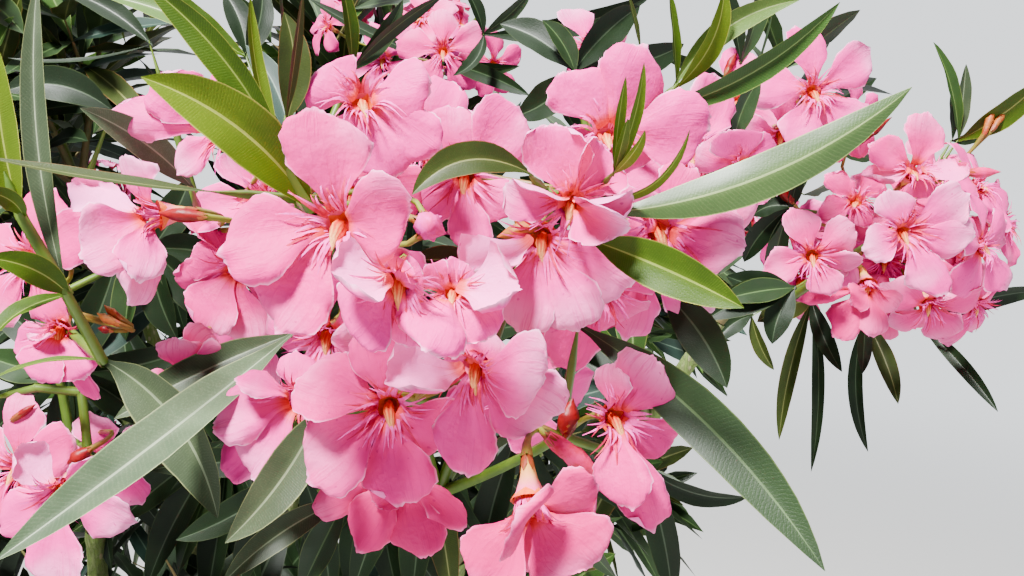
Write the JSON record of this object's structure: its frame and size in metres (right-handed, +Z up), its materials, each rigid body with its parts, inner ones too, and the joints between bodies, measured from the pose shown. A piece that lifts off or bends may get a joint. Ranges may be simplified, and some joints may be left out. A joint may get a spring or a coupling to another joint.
{
  "type": "potted oleander",
  "caption": "Pink-flowered oleander shrub with woody stems, lance-shaped leaves and open flower clusters, growing from compost in a plain round terracotta pot.",
  "frame": {"origin": "centre of the flat underside of the pot, on the surface that it stands on", "axes": "+Z up along the pot's axis, -Y towards the side of the crown that the picture shows, +X to the right in the picture"},
  "size_m": [0.9809, 0.8625, 1.334],
  "materials": {
    "terracotta": "matte",
    "compost": "matte",
    "bark": "matte",
    "green_wood": "satin",
    "foliage": "satin",
    "flowering_foliage": "satin"
  },
  "bodies": {
    "root": {"pot": "terracotta", "compost": "compost", "front_stem": "bark", "back_right_stem": "bark", "back_left_stem": "bark", "left_stem": "bark", "front_left_stem": "bark", "middle_stem": "bark", "front_bough": "green_wood", "right_bough": "green_wood", "upper_right_bough": "green_wood", "back_right_bough": "green_wood", "low_back_right_bough": "green_wood", "back_left_bough": "green_wood", "back_bough": "green_wood", "low_back_left_bough": "green_wood", "left_bough": "green_wood", "low_left_bough": "green_wood", "left_front_bough": "green_wood", "front_left_bough": "green_wood", "low_front_bough": "green_wood", "top_bough": "green_wood", "top_left_bough": "green_wood", "top_back_bough": "green_wood", "front_mass": "flowering_foliage", "front_left_inner_mass": "flowering_foliage", "right_mass": "flowering_foliage", "upper_right_mass": "flowering_foliage", "top_mass": "flowering_foliage", "front_left_mass": "flowering_foliage", "left_mass": "flowering_foliage", "back_left_mass": "flowering_foliage", "back_mass": "flowering_foliage", "back_right_mass": "flowering_foliage", "top_left_mass": "flowering_foliage", "top_back_mass": "flowering_foliage", "low_front_mass": "foliage", "low_left_mass": "flowering_foliage", "low_back_left_mass": "flowering_foliage", "low_back_right_mass": "foliage"}
  },
  "joints": []
}
